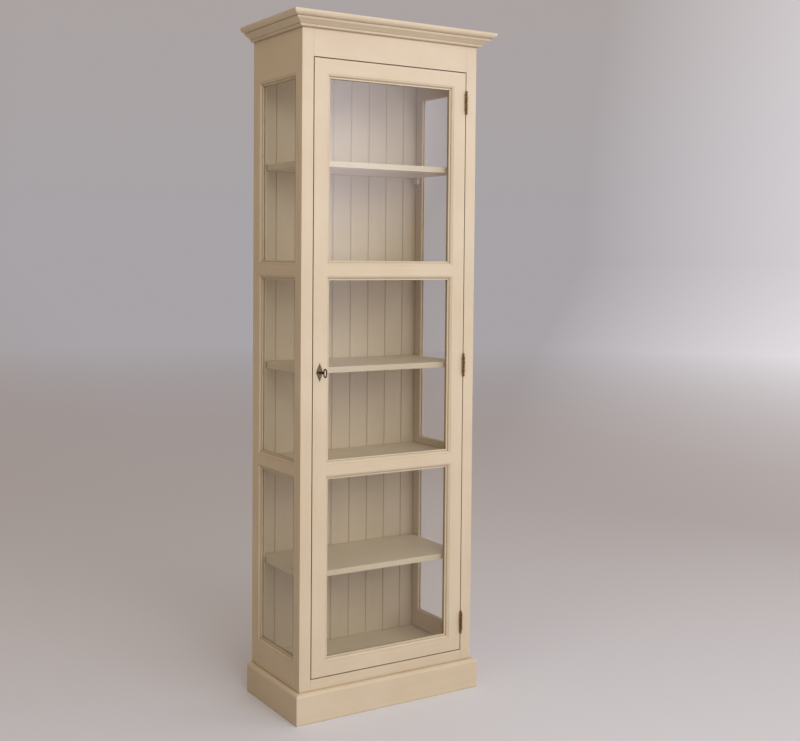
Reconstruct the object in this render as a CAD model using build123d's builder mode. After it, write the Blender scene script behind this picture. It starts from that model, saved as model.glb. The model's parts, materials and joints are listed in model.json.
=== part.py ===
"""Glazed display cabinet: framed sides, boarded back, shelves and one inset door with a lock."""

import math
import os

from build123d import *

os.makedirs("parts", exist_ok=True)

# Overall size, standing on z = 0 with the front towards -Y
WIDTH = 684.0
DEPTH = 355.0
HEIGHT = 2000.0
CORNICE_OVERHANG = 45.0

# Face frame and door opening
FRAME_THICKNESS = 22.0
FACE_STILE_WIDTH = 36.0
OPENING_BOTTOM = 119.5
FRIEZE_HEIGHT = 102.5

# Door
DOOR_GAP = 3.0
DOOR_STOP_CLEARANCE = 0.5
DOOR_MEMBER_WIDTH = 53.5
MID_RAIL_HEIGHT = 55.0
DOOR_GLASS_DEPTH = 13.0

# Side frames, widths measured to the edge of the glass in view
SIDE_MEMBER_WIDTH = 49.0
SIDE_GLASS_DEPTH = 12.0

# Moulding worked on the frames round the glass
MOULDING_WIDTH = 12.0
QUIRK_DEPTH = 0.8
OVOLO_LEDGE = 0.5
OVOLO_RADIUS = 6.5

# Glazing
GLASS_THICKNESS = 4.0
REBATE_WIDTH = 8.0
PANE_EDGE_CLEARANCE = 1.0
BEAD_BEVEL = 1.5

# Stub tenons on every rail
TENON_LENGTH = 12.0
TENON_THICKNESS = 7.0
TENON_SETBACK = 7.0
TENON_SHOULDER = 5.0

# Back boards
BACK_BOARD_COUNT = 9
BACK_SIDE_COVER = 7.0
BACK_THICKNESS = 14.0
TONGUE_THICKNESS = 4.0
TONGUE_LENGTH = 5.0
TONGUE_CLEARANCE = 0.3
V_JOINT_DEPTH = 2.5

# Shelves and boards
SHELF_THICKNESS = 17.0
SHELF_ARRIS = 1.5
FLOOR_TOP = 116.0
FLOOR_THICKNESS = 18.0
LOWER_SHELF_RISE = 4.5
UPPER_SHELF_RISE = 9.0
LOOSE_SHELF_FRONT_GAP = 8.0
LOOSE_SHELF_REAR_GAP = 2.0
LOOSE_SHELF_END_GAP = 2.0

# Blocks under the loose shelves
BLOCK_WIDTH = 13.0
BLOCK_HEIGHT = 20.0
BLOCK_BEVEL = 3.0
FRONT_BLOCK_LENGTH = 19.0
REAR_BLOCK_LENGTH = 25.0
REAR_BLOCK_GAP = 1.0

# Top board and cornice, run out from the case face
TOP_BOARD_THICKNESS = 16.0
TOP_ARRIS_RADIUS = 1.5
TOP_OVOLO_RADIUS = 13.5
CORNICE_HEIGHT = 24.0
CORNICE_TOP_RUN = 31.0
CORNICE_TOP_FLAT = 2.0
CORNICE_OVOLO_RADIUS = 6.0
CORNICE_OVOLO_TURN = 62.0
CORNICE_SLOPE_RUN = 12.5
CORNICE_SLOPE_DROP = 9.7
CORNICE_FILLET = 1.0
CORNICE_BEAD_RUN = 7.0
CORNICE_BEAD_DROP = 7.0
CORNICE_BEAD_BULGE = 2.0

# Plinth
PLINTH_HEIGHT = 87.5
PLINTH_THICKNESS = 16.0
PLINTH_OVOLO_RADIUS = 10.5

# Hinges, their pins proud of the door face
HINGE_DROP = 2.1
HINGE_FROM_DOOR_END = 86.4
HINGE_PIN_PROUD = 4.6
HINGE_LEAF_HEIGHT = 50.0
HINGE_LEAF_REACH = 18.0
HINGE_LEAF_THICKNESS = 1.3
KNUCKLE_COUNT = 5
KNUCKLE_RADIUS = 4.5
KNUCKLE_END_CLEARANCE = 0.1
KNUCKLE_SIDE_CLEARANCE = 0.3
HINGE_PIN_RADIUS = 2.0
HINGE_RUNNING_CLEARANCE = 0.05
FINIAL_HEIGHT = 10.5
FINIAL_COLLAR_HEIGHT = 1.6
FINIAL_NECK_RADIUS = 2.2
FINIAL_BALL_RADIUS = 3.7

# Countersunk screws
SCREW_HEAD_RADIUS = 3.0
SCREW_HEAD_DEPTH = 2.0
SCREW_SHANK_RADIUS = 1.4
SCREW_LENGTH = 14.0
SCREW_SLOT_WIDTH = 0.7
SCREW_SLOT_DEPTH = 0.6
HINGE_SCREW_SPACING = 17.0
HINGE_SCREW_SETBACK = 7.0
HINGE_SCREW_STAGGER = 5.0

# Lock let into the left door stile
KEY_BACKSET = 21.2
KEY_DROP = 3.7
LOCK_CASE_SETBACK = 6.0
LOCK_CASE_THICKNESS = 9.5
LOCK_CASE_WALL = 1.0
LOCK_CASE_LENGTH = 32.0
LOCK_CASE_BELOW = 12.0
LOCK_CASE_ABOVE = 26.0
FOREND_THICKNESS = 1.5
FOREND_WIDTH = 12.0
FOREND_END = 8.0
LOCK_SCREW_END = 4.0
BOLT_THICKNESS = 5.0
BOLT_HEIGHT = 9.0
BOLT_LENGTH = 28.0
BOLT_ABOVE_KEY = 8.0
BOLT_TRAVEL = 9.0
BOLT_CLEARANCE = 0.1
BOLT_STUD_RADIUS = 1.4
BOLT_STUD_FROM_NOSE = 14.0

# Strike plate for the bolt
STRIKE_THICKNESS = 1.2
STRIKE_HEIGHT = 44.0
STRIKE_WIDTH = 14.0
STRIKE_WINDOW_CLEARANCE = 1.0
STRIKE_POCKET_DEPTH = 9.0
STRIKE_SCREW_END = 5.0

# Key and keyhole
KEY_SHANK_RADIUS = 2.8
KEY_REACH = 42.5
KEY_BOW_HEIGHT = 26.5
KEY_BOW_DEPTH = 20.0
KEY_BOW_END_RADIUS = 8.5
KEY_BOW_WIRE_RADIUS = 1.7
KEY_BOW_EDGE_RADIUS = 1.4
KEY_COLLAR_RADIUS = 3.9
KEY_COLLAR_LENGTH = 2.4
KEY_END_CLEARANCE = 0.5
KEY_BIT_RADIUS = 7.5
KEY_BIT_LENGTH = 4.0
KEY_BIT_THICKNESS = 2.2
KEY_BIT_FROM_END = 1.0
DRILL_PIN_RADIUS = 1.2
DRILL_PIN_LENGTH = 6.0
DRILL_PIN_CLEARANCE = 0.05
KEYHOLE_CLEARANCE = 0.3

# Escutcheon
ESCUTCHEON_WIDTH = 23.0
ESCUTCHEON_HEIGHT = 54.0
ESCUTCHEON_THICKNESS = 1.6
ESCUTCHEON_TAPER = 35.0
ESCUTCHEON_PIN_OFFSET = 19.0
ESCUTCHEON_PIN_RADIUS = 0.7
ESCUTCHEON_PIN_HEAD_RADIUS = 1.3
ESCUTCHEON_PIN_DOME = 0.7
ESCUTCHEON_PIN_LENGTH = 5.0

# Overrun of a cutter past the face it cuts
OVERRUN = 2.0

# Main planes of the case
side_x = WIDTH / 2 - CORNICE_OVERHANG
inner_x = side_x - FRAME_THICKNESS
opening_x = side_x - FACE_STILE_WIDTH
front_y = -DEPTH / 2 + CORNICE_OVERHANG
inner_front_y = front_y + FRAME_THICKNESS
back_y = DEPTH / 2
inner_back_y = back_y - BACK_THICKNESS
case_top = HEIGHT - TOP_BOARD_THICKNESS
opening_top = case_top - FRIEZE_HEIGHT

# Main lines of the door
door_x = opening_x - DOOR_GAP
door_bottom = OPENING_BOTTOM + DOOR_GAP
door_top = opening_top - DOOR_GAP
door_thickness = FRAME_THICKNESS - DOOR_STOP_CLEARANCE
door_sight_x = door_x - DOOR_MEMBER_WIDTH
door_middle = (door_bottom + door_top) / 2
key_level = door_middle - KEY_DROP

# Levels of the three panes, shared by the door and the sides
glazed_height = door_top - door_bottom - 2 * DOOR_MEMBER_WIDTH
pane_height = (glazed_height - 2 * MID_RAIL_HEIGHT) / 3
pane_bottoms = [door_bottom + DOOR_MEMBER_WIDTH + i * (pane_height + MID_RAIL_HEIGHT) for i in range(3)]
pane_levels = [(bottom, bottom + pane_height) for bottom in pane_bottoms]

# Fixed shelves behind the middle rails, and loose shelves halfway up each bay
lower_shelf_top = pane_levels[0][1] + MID_RAIL_HEIGHT / 2 + LOWER_SHELF_RISE
upper_shelf_top = pane_levels[1][1] + MID_RAIL_HEIGHT / 2 + UPPER_SHELF_RISE
bay_floors = [FLOOR_TOP, lower_shelf_top, upper_shelf_top]
bay_heads = [lower_shelf_top - SHELF_THICKNESS, upper_shelf_top - SHELF_THICKNESS, opening_top]
loose_shelf_bottoms = [(bay_floors[i] + bay_heads[i] - SHELF_THICKNESS) / 2 for i in range(3)]

# Working planes with x across the opening and y up
door_face = Plane(origin=(0, front_y, 0), x_dir=(1, 0, 0), z_dir=(0, -1, 0))
side_face = Plane(origin=(side_x, 0, 0), x_dir=(0, 1, 0), z_dir=(1, 0, 0))


def save(name, part):
    """Label one sub-part and write it out."""
    part.label = name
    export_step(part, f"parts/{name}.step")


def prism(plane, points, amount):
    """Solid raised from an outline drawn on a plane."""
    with BuildPart() as solid:
        with BuildSketch(plane):
            Polygon(*points, align=None)
        extrude(amount=amount)
    return solid.part


def block(low, high):
    """Rectangular solid between two opposite corners."""
    middle = [(low[i] + high[i]) / 2 for i in range(3)]
    with BuildPart() as solid:
        with Locations(tuple(middle)):
            Box(high[0] - low[0], high[1] - low[1], high[2] - low[2])
    return solid.part


def rod(base, direction, radius, length):
    """Round rod from a base point along a direction."""
    with BuildPart() as solid:
        with BuildSketch(Plane(origin=base, z_dir=direction)):
            Circle(radius)
        extrude(amount=length)
    return solid.part


def moulding_section(plane, half):
    """Section of a moulded opening about its centre, with the frame face at zero."""
    edge = half + MOULDING_WIDTH
    ledge = edge - OVOLO_LEDGE
    foot = ledge - OVOLO_RADIUS
    depth = QUIRK_DEPTH + OVOLO_RADIUS
    swing = OVOLO_RADIUS * math.cos(math.radians(45))
    through = FRAME_THICKNESS + OVERRUN
    with BuildSketch(plane) as section:
        with BuildLine():
            Polyline((half, -depth), (half, -through), (-half, -through), (-half, -depth), (-foot, -depth))
            ThreePointArc((-foot, -depth), (swing - ledge, swing - depth), (-ledge, -QUIRK_DEPTH))
            Polyline((-ledge, -QUIRK_DEPTH), (-edge, -QUIRK_DEPTH), (-edge, OVERRUN), (edge, OVERRUN),
                     (edge, -QUIRK_DEPTH), (ledge, -QUIRK_DEPTH))
            ThreePointArc((ledge, -QUIRK_DEPTH), (ledge - swing, swing - depth), (foot, -depth))
            Line((foot, -depth), (half, -depth))
        make_face()
    return section.sketch


def moulded_window(face, sight, level, glass_depth):
    """Cutter for one glazed opening: mitred moulding in front, glass rebate behind."""
    centre = face.from_local_coords(((sight[0] + sight[1]) / 2, (level[0] + level[1]) / 2, 0))
    half_width = (sight[1] - sight[0]) / 2
    half_height = (level[1] - level[0]) / 2
    across = moulding_section(Plane(origin=centre, x_dir=face.x_dir, z_dir=-face.y_dir), half_width)
    upright = moulding_section(Plane(origin=centre, x_dir=face.y_dir, z_dir=face.x_dir), half_height)
    behind = Plane(origin=centre, x_dir=face.x_dir, z_dir=face.z_dir).offset(-glass_depth)
    with BuildPart() as cutter:
        extrude(across, amount=half_height + 2 * MOULDING_WIDTH, both=True)
        extrude(upright, amount=half_width + 2 * MOULDING_WIDTH, both=True, mode=Mode.INTERSECT)
        with BuildSketch(behind):
            Rectangle(2 * (half_width + REBATE_WIDTH), 2 * (half_height + REBATE_WIDTH))
        extrude(amount=-(FRAME_THICKNESS + OVERRUN - glass_depth))
    return cutter.part


def tenon(face, across, level):
    """Stub tenon between two positions across the frame, centred in its rail's height."""
    start, end = sorted(across)
    bottom = level[0] + TENON_SHOULDER
    top = level[1] - TENON_SHOULDER
    corners = [(start, bottom), (end, bottom), (end, top), (start, top)]
    return prism(face.offset(-TENON_SETBACK), corners, -TENON_THICKNESS)


def rail_outline(sight, level, moulded):
    """Outline of a rail in the frame's plane, its mouldings mitred at the ends."""
    start = sight[0] - MOULDING_WIDTH
    end = sight[1] + MOULDING_WIDTH
    bottom, top = level
    if moulded[0]:
        points = [(start, bottom + MOULDING_WIDTH), (sight[0], bottom), (sight[1], bottom),
                  (end, bottom + MOULDING_WIDTH)]
    else:
        points = [(start, bottom), (end, bottom)]
    if moulded[1]:
        points += [(end, top - MOULDING_WIDTH), (sight[1], top), (sight[0], top),
                   (start, top - MOULDING_WIDTH)]
    else:
        points += [(end, top), (start, top)]
    return points


def stile_outline(outer, sight_edge, foot, head):
    """Outline of a stile in the frame's plane, its mouldings mitred at each rail."""
    flat = sight_edge + math.copysign(MOULDING_WIDTH, outer - sight_edge)
    points = [(outer, foot), (flat, foot)]
    for bottom, top in pane_levels:
        points += [(flat, bottom - MOULDING_WIDTH), (sight_edge, bottom), (sight_edge, top),
                   (flat, top + MOULDING_WIDTH)]
    return points + [(flat, head), (outer, head)]


def frame_members(face, span, sight, foot, head, thickness, glass_depth):
    """The four rails and two stiles of one glazed frame, as finished parts by name."""
    windows = [moulded_window(face, sight, level, glass_depth) for level in pane_levels]
    flats = (sight[0] - MOULDING_WIDTH, sight[1] + MOULDING_WIDTH)
    levels = [foot] + [edge for level in pane_levels for edge in level] + [head]
    names = ["bottom_rail", "lower_rail", "upper_rail", "top_rail"]
    members = {}
    mortises = ([], [])
    for i, name in enumerate(names):
        level = (levels[2 * i], levels[2 * i + 1])
        moulded = (i > 0, i < len(names) - 1)
        flat_level = (level[0] + MOULDING_WIDTH * moulded[0], level[1] - MOULDING_WIDTH * moulded[1])
        first = tenon(face, (flats[0], flats[0] - TENON_LENGTH), flat_level)
        second = tenon(face, (flats[1], flats[1] + TENON_LENGTH), flat_level)
        mortises[0].append(first)
        mortises[1].append(second)
        with BuildPart() as rail:
            add(prism(face, rail_outline(sight, level, moulded), -thickness))
            add(windows[max(i - 1, 0): i + 1], mode=Mode.SUBTRACT)
            add([first, second])
        members[name] = rail.part
    for i, name in enumerate(["first_stile", "second_stile"]):
        with BuildPart() as stile:
            add(prism(face, stile_outline(span[i], sight[i], foot, head), -thickness))
            add(windows, mode=Mode.SUBTRACT)
            add(mortises[i], mode=Mode.SUBTRACT)
        members[name] = stile.part
    return members


def pane(face, sight, level, glass_depth):
    """One sheet of glass, its edges held in the rebate."""
    cover = REBATE_WIDTH - PANE_EDGE_CLEARANCE
    start, end = sight[0] - cover, sight[1] + cover
    bottom, top = level[0] - cover, level[1] + cover
    corners = [(start, bottom), (end, bottom), (end, top), (start, top)]
    return prism(face.offset(-glass_depth), corners, -GLASS_THICKNESS)


def beads(face, sight, level, thickness, glass_depth):
    """The four mitred beads that hold one pane, bevelled towards the glass in view."""
    start, end = sight
    bottom, top = level
    outer = [(start - REBATE_WIDTH, bottom - REBATE_WIDTH), (end + REBATE_WIDTH, bottom - REBATE_WIDTH),
             (end + REBATE_WIDTH, top + REBATE_WIDTH), (start - REBATE_WIDTH, top + REBATE_WIDTH)]
    inner = [(start, bottom), (end, bottom), (end, top), (start, top)]
    bead_face = face.offset(-(glass_depth + GLASS_THICKNESS))
    with BuildPart() as bevel:
        with BuildSketch(face.offset(BEAD_BEVEL - thickness)):
            Polygon(*inner, align=None)
        extrude(amount=-(BEAD_BEVEL + OVERRUN), taper=-45)
    strips = []
    for i in range(4):
        j = (i + 1) % 4
        corners = [outer[i], outer[j], inner[j], inner[i]]
        with BuildPart() as strip:
            add(prism(bead_face, corners, -(thickness - glass_depth - GLASS_THICKNESS)))
            add(bevel.part, mode=Mode.SUBTRACT)
        strips.append(strip.part)
    return strips


def screw_blank(point, direction):
    """Countersunk screw with its head flush at a point, driven along a direction."""
    with BuildPart() as screw:
        across = Vector(0, 0, 1).cross(Vector(*direction))
        with BuildSketch(Plane(origin=point, x_dir=(0, 0, 1), z_dir=across)):
            Polygon((0, 0), (SCREW_HEAD_RADIUS, 0), (SCREW_SHANK_RADIUS, SCREW_HEAD_DEPTH),
                    (SCREW_SHANK_RADIUS, SCREW_LENGTH), (0, SCREW_LENGTH + SCREW_SHANK_RADIUS), align=None)
        revolve(axis=Axis(point, direction))
    return screw.part


def slotted(screw, point, direction):
    """Screw with its driving slot cut across the head."""
    with BuildPart() as cut:
        with BuildSketch(Plane(origin=point, x_dir=(0, 0, 1), z_dir=direction)):
            Rectangle(SCREW_SLOT_WIDTH, 2 * SCREW_HEAD_RADIUS + OVERRUN)
        extrude(amount=SCREW_SLOT_DEPTH)
    with BuildPart() as finished:
        add(screw)
        add(cut.part, mode=Mode.SUBTRACT)
    return finished.part


def group(parts):
    """Several separate solids kept as one sub-part."""
    return Compound(children=list(parts))


# Screws that fix the hinges, one column on the case and one on the door
hinge_spacing = (door_top - door_bottom) / 2 - HINGE_FROM_DOOR_END
hinge_levels = [door_middle - HINGE_DROP + i * hinge_spacing for i in (-1, 0, 1)]
hinge_x = opening_x - DOOR_GAP / 2
hinge_y = front_y - HINGE_PIN_PROUD
hinge_screw_seats = []
for hinge_level in hinge_levels:
    for i in (-1, 0, 1):
        seat_y = front_y + HINGE_SCREW_SETBACK + HINGE_SCREW_STAGGER * (i == 0)
        hinge_screw_seats.append((seat_y, hinge_level + i * HINGE_SCREW_SPACING))
case_screw_seats = [((opening_x - HINGE_LEAF_THICKNESS, y, z), (1, 0, 0)) for y, z in hinge_screw_seats]
door_screw_seats = [((door_x + HINGE_LEAF_THICKNESS, y, z), (-1, 0, 0)) for y, z in hinge_screw_seats]
case_hinge_screws = [screw_blank(*seat) for seat in case_screw_seats]
door_hinge_screws = [screw_blank(*seat) for seat in door_screw_seats]


def knuckle_span(hinge_level, i):
    """Bottom and top of one knuckle, with running clearance between neighbours."""
    pitch = HINGE_LEAF_HEIGHT / KNUCKLE_COUNT
    bottom = hinge_level - HINGE_LEAF_HEIGHT / 2 + i * pitch
    low = bottom + KNUCKLE_END_CLEARANCE * (i > 0)
    high = bottom + pitch - KNUCKLE_END_CLEARANCE * (i < KNUCKLE_COUNT - 1)
    return low, high


def hinge_leaf(hinge_level, own_knuckles, start_x, bore_radius, screws):
    """One leaf of a hinge with its knuckles rolled round the pin."""
    bottom = hinge_level - HINGE_LEAF_HEIGHT / 2
    top = hinge_level + HINGE_LEAF_HEIGHT / 2
    plate = block((start_x, hinge_y, bottom),
                  (start_x + HINGE_LEAF_THICKNESS, front_y + HINGE_LEAF_REACH, top))
    relief_radius = KNUCKLE_RADIUS + KNUCKLE_SIDE_CLEARANCE
    reliefs = []
    knuckles = []
    for i in range(KNUCKLE_COUNT):
        low, high = knuckle_span(hinge_level, i)
        if i in own_knuckles:
            knuckles.append(rod((hinge_x, hinge_y, low), (0, 0, 1), KNUCKLE_RADIUS, high - low))
        else:
            low -= 2 * KNUCKLE_END_CLEARANCE
            reliefs.append(rod((hinge_x, hinge_y, low), (0, 0, 1), relief_radius,
                               high - low + 2 * KNUCKLE_END_CLEARANCE))
    bore = rod((hinge_x, hinge_y, bottom - OVERRUN), (0, 0, 1), bore_radius, top - bottom + 2 * OVERRUN)
    with BuildPart() as leaf:
        add(plate)
        add(reliefs, mode=Mode.SUBTRACT)
        add(knuckles)
        add(bore, mode=Mode.SUBTRACT)
        add(screws, mode=Mode.SUBTRACT)
    return leaf.part


def hinge_pin(hinge_level):
    """Pin with a turned finial at each end."""
    half = HINGE_LEAF_HEIGHT / 2
    neck = half + FINIAL_COLLAR_HEIGHT
    ball = half + FINIAL_HEIGHT - FINIAL_BALL_RADIUS
    meet = ball - math.sqrt(FINIAL_BALL_RADIUS ** 2 - FINIAL_NECK_RADIUS ** 2)
    with BuildPart() as pin:
        with BuildSketch(Plane(origin=(hinge_x, hinge_y, hinge_level), x_dir=(1, 0, 0), z_dir=(0, -1, 0))):
            with BuildLine():
                for end in (1, -1):
                    Line((0, 0), (0, end * (half + FINIAL_HEIGHT)))
                    ThreePointArc((0, end * (half + FINIAL_HEIGHT)), (FINIAL_BALL_RADIUS, end * ball),
                                  (FINIAL_NECK_RADIUS, end * meet))
                    Polyline((FINIAL_NECK_RADIUS, end * meet), (FINIAL_NECK_RADIUS, end * neck),
                             (KNUCKLE_RADIUS, end * neck), (KNUCKLE_RADIUS, end * half),
                             (HINGE_PIN_RADIUS, end * half))
                Line((HINGE_PIN_RADIUS, half), (HINGE_PIN_RADIUS, -half))
            make_face()
        revolve(axis=Axis((hinge_x, hinge_y, hinge_level), (0, 0, 1)))
    return pin.part


# Hinge leaves and pins
case_knuckles = (0, 2, 4)
door_knuckles = (1, 3)
frame_leaves = []
door_leaves = []
pins = []
for i, hinge_level in enumerate(hinge_levels):
    own = slice(3 * i, 3 * i + 3)
    frame_leaves.append(hinge_leaf(hinge_level, case_knuckles, opening_x - HINGE_LEAF_THICKNESS,
                                   HINGE_PIN_RADIUS, case_hinge_screws[own]))
    door_leaves.append(hinge_leaf(hinge_level, door_knuckles, door_x,
                                  HINGE_PIN_RADIUS + HINGE_RUNNING_CLEARANCE, door_hinge_screws[own]))
    pins.append(hinge_pin(hinge_level))
save("hinge_frame_leaves", group(frame_leaves))
save("hinge_door_leaves", group(door_leaves))
save("hinge_pins", group(pins))

# Lines of the lock, bolt and strike
key_x = -door_x + KEY_BACKSET
lock_front_y = front_y + LOCK_CASE_SETBACK
lock_back_y = lock_front_y + LOCK_CASE_THICKNESS
lock_y = (lock_front_y + lock_back_y) / 2
case_x = -door_x + FOREND_THICKNESS
case_bottom = key_level - LOCK_CASE_BELOW
lock_head = key_level + LOCK_CASE_ABOVE
bolt_bottom = key_level + BOLT_ABOVE_KEY
bolt_level = bolt_bottom + BOLT_HEIGHT / 2
forend_low = (-door_x, lock_y - FOREND_WIDTH / 2, case_bottom - FOREND_END)
forend_high = (case_x, lock_y + FOREND_WIDTH / 2, lock_head + FOREND_END)
case_low = (case_x, lock_front_y, case_bottom)
case_high = (case_x + LOCK_CASE_LENGTH, lock_back_y, lock_head)
lock_screw_seats = [((-door_x, lock_y, z), (1, 0, 0))
                    for z in (case_bottom - LOCK_SCREW_END, lock_head + LOCK_SCREW_END)]
lock_screws = [screw_blank(*seat) for seat in lock_screw_seats]
strike_low = (-opening_x - STRIKE_THICKNESS, lock_y - STRIKE_WIDTH / 2, bolt_level - STRIKE_HEIGHT / 2)
strike_high = (-opening_x, lock_y + STRIKE_WIDTH / 2, bolt_level + STRIKE_HEIGHT / 2)
strike_screw_seats = [((-opening_x, lock_y, z), (-1, 0, 0))
                      for z in (strike_low[2] + STRIKE_SCREW_END, strike_high[2] - STRIKE_SCREW_END)]
strike_screws = [screw_blank(*seat) for seat in strike_screw_seats]
bolt_window = block(
    (-opening_x - STRIKE_THICKNESS - STRIKE_POCKET_DEPTH,
     lock_y - BOLT_THICKNESS / 2 - STRIKE_WINDOW_CLEARANCE, bolt_bottom - STRIKE_WINDOW_CLEARANCE),
    (-opening_x + OVERRUN, lock_y + BOLT_THICKNESS / 2 + STRIKE_WINDOW_CLEARANCE,
     bolt_bottom + BOLT_HEIGHT + STRIKE_WINDOW_CLEARANCE))


def keyhole(start_y, end_y):
    """Keyhole cutter between two depths: round above, slot below."""
    slot_half = KEY_BIT_THICKNESS / 2 + KEYHOLE_CLEARANCE
    with BuildPart() as cutter:
        with BuildSketch(Plane(origin=(key_x, start_y, key_level), x_dir=(1, 0, 0), z_dir=(0, -1, 0))):
            Circle(KEY_SHANK_RADIUS + KEYHOLE_CLEARANCE)
            with Locations((0, -(KEY_BIT_RADIUS + KEYHOLE_CLEARANCE) / 2)):
                Rectangle(2 * slot_half, KEY_BIT_RADIUS + KEYHOLE_CLEARANCE)
        extrude(amount=start_y - end_y)
    return cutter.part


# Lock case with its forend, guide stud and drill pin
stud_x = -door_x + BOLT_STUD_FROM_NOSE
with BuildPart() as lock_case:
    add(block(forend_low, forend_high))
    add(block(case_low, case_high))
    add(block((case_x, lock_front_y + LOCK_CASE_WALL, case_bottom + LOCK_CASE_WALL),
              (case_high[0] - LOCK_CASE_WALL, lock_back_y - LOCK_CASE_WALL, lock_head - LOCK_CASE_WALL)),
        mode=Mode.SUBTRACT)
    add(block((-door_x - OVERRUN, lock_y - BOLT_THICKNESS / 2 - BOLT_CLEARANCE,
               bolt_bottom - BOLT_CLEARANCE),
              (case_x + OVERRUN, lock_y + BOLT_THICKNESS / 2 + BOLT_CLEARANCE,
               bolt_bottom + BOLT_HEIGHT + BOLT_CLEARANCE)),
        mode=Mode.SUBTRACT)
    add(keyhole(lock_front_y - OVERRUN, lock_front_y + LOCK_CASE_WALL + OVERRUN), mode=Mode.SUBTRACT)
    add(rod((stud_x, lock_back_y - LOCK_CASE_WALL, bolt_level), (0, -1, 0), BOLT_STUD_RADIUS,
            LOCK_CASE_THICKNESS - 2 * LOCK_CASE_WALL))
    add(rod((key_x, lock_back_y - LOCK_CASE_WALL, key_level), (0, -1, 0), DRILL_PIN_RADIUS,
            DRILL_PIN_LENGTH))
    add(lock_screws, mode=Mode.SUBTRACT)
save("lock_case", lock_case.part)

# Bolt, drawn back at rest, with a slot that runs on the guide stud
with BuildPart() as lock_bolt:
    add(block((-door_x, lock_y - BOLT_THICKNESS / 2, bolt_bottom),
              (-door_x + BOLT_LENGTH, lock_y + BOLT_THICKNESS / 2, bolt_bottom + BOLT_HEIGHT)))
    slot_radius = BOLT_STUD_RADIUS + BOLT_CLEARANCE
    slot_centre = (stud_x + BOLT_TRAVEL / 2, lock_y, bolt_level)
    with BuildSketch(Plane(origin=slot_centre, x_dir=(1, 0, 0), z_dir=(0, -1, 0))):
        SlotOverall(BOLT_TRAVEL + 2 * slot_radius, 2 * slot_radius)
    extrude(amount=BOLT_THICKNESS, both=True, mode=Mode.SUBTRACT)
save("lock_bolt", lock_bolt.part)

# Key with an oval ring bow, collar, hollow shank and bit
bow_y = front_y - KEY_REACH + KEY_BOW_DEPTH / 2
bow_end_y = bow_y + KEY_BOW_DEPTH / 2
shank_start_y = bow_end_y - KEY_BOW_WIRE_RADIUS
shank_end_y = lock_back_y - LOCK_CASE_WALL - KEY_END_CLEARANCE
bit_end_y = shank_end_y - KEY_BIT_FROM_END
bow_reach = KEY_BOW_DEPTH / 2
bow_rise = KEY_BOW_HEIGHT / 2
bow_end_centre = bow_rise - KEY_BOW_END_RADIUS
bow_side_radius = ((bow_reach ** 2 + bow_rise ** 2 - 2 * bow_rise * KEY_BOW_END_RADIUS)
                   / (2 * (bow_reach - KEY_BOW_END_RADIUS)))
bow_side_share = bow_side_radius / (bow_side_radius - KEY_BOW_END_RADIUS)
bow_turn_y = (bow_side_radius - bow_reach) * (bow_side_share - 1)
bow_turn_z = bow_end_centre * bow_side_share
with BuildPart() as key:
    with BuildSketch(Plane(origin=(key_x, bow_y, key_level), x_dir=(0, 1, 0), z_dir=(1, 0, 0))):
        with BuildLine():
            ThreePointArc((bow_turn_y, bow_turn_z), (0, bow_rise), (-bow_turn_y, bow_turn_z))
            ThreePointArc((-bow_turn_y, bow_turn_z), (-bow_reach, 0), (-bow_turn_y, -bow_turn_z))
            ThreePointArc((-bow_turn_y, -bow_turn_z), (0, -bow_rise), (bow_turn_y, -bow_turn_z))
            ThreePointArc((bow_turn_y, -bow_turn_z), (bow_reach, 0), (bow_turn_y, bow_turn_z))
        make_face()
        offset(amount=-2 * KEY_BOW_WIRE_RADIUS, mode=Mode.SUBTRACT)
    extrude(amount=KEY_BOW_WIRE_RADIUS, both=True)
    fillet(key.edges(), KEY_BOW_EDGE_RADIUS)
    add(rod((key_x, shank_start_y, key_level), (0, 1, 0), KEY_SHANK_RADIUS, shank_end_y - shank_start_y))
    add(rod((key_x, bow_end_y, key_level), (0, 1, 0), KEY_COLLAR_RADIUS, KEY_COLLAR_LENGTH))
    add(block((key_x - KEY_BIT_THICKNESS / 2, bit_end_y - KEY_BIT_LENGTH, key_level - KEY_BIT_RADIUS),
              (key_x + KEY_BIT_THICKNESS / 2, bit_end_y, key_level)))
    add(rod((key_x, shank_end_y, key_level), (0, -1, 0), DRILL_PIN_RADIUS + DRILL_PIN_CLEARANCE,
            DRILL_PIN_LENGTH), mode=Mode.SUBTRACT)
save("key", key.part)

# Escutcheon with its keyhole, and the pins that hold it
dome_y = (ESCUTCHEON_PIN_HEAD_RADIUS ** 2 - ESCUTCHEON_PIN_DOME ** 2) / (2 * ESCUTCHEON_PIN_DOME)
dome_radius = dome_y + ESCUTCHEON_PIN_DOME
dome_angle = math.asin(ESCUTCHEON_PIN_HEAD_RADIUS / dome_radius)
escutcheon_pins = []
for end in (1, -1):
    pin_z = key_level + end * ESCUTCHEON_PIN_OFFSET
    pin_y = front_y - ESCUTCHEON_THICKNESS
    dome_middle = (dome_radius * math.sin(dome_angle / 2), dome_y - dome_radius * math.cos(dome_angle / 2))
    with BuildPart() as escutcheon_pin:
        with BuildSketch(Plane(origin=(key_x, pin_y, pin_z), x_dir=(1, 0, 0), z_dir=(0, 0, 1))):
            with BuildLine():
                Polyline((0, ESCUTCHEON_PIN_LENGTH), (ESCUTCHEON_PIN_RADIUS, ESCUTCHEON_PIN_LENGTH),
                         (ESCUTCHEON_PIN_RADIUS, 0), (ESCUTCHEON_PIN_HEAD_RADIUS, 0))
                ThreePointArc((ESCUTCHEON_PIN_HEAD_RADIUS, 0), dome_middle, (0, -ESCUTCHEON_PIN_DOME))
                Line((0, -ESCUTCHEON_PIN_DOME), (0, ESCUTCHEON_PIN_LENGTH))
            make_face()
        revolve(axis=Axis((key_x, pin_y, pin_z), (0, 1, 0)))
    escutcheon_pins.append(escutcheon_pin.part)
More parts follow.
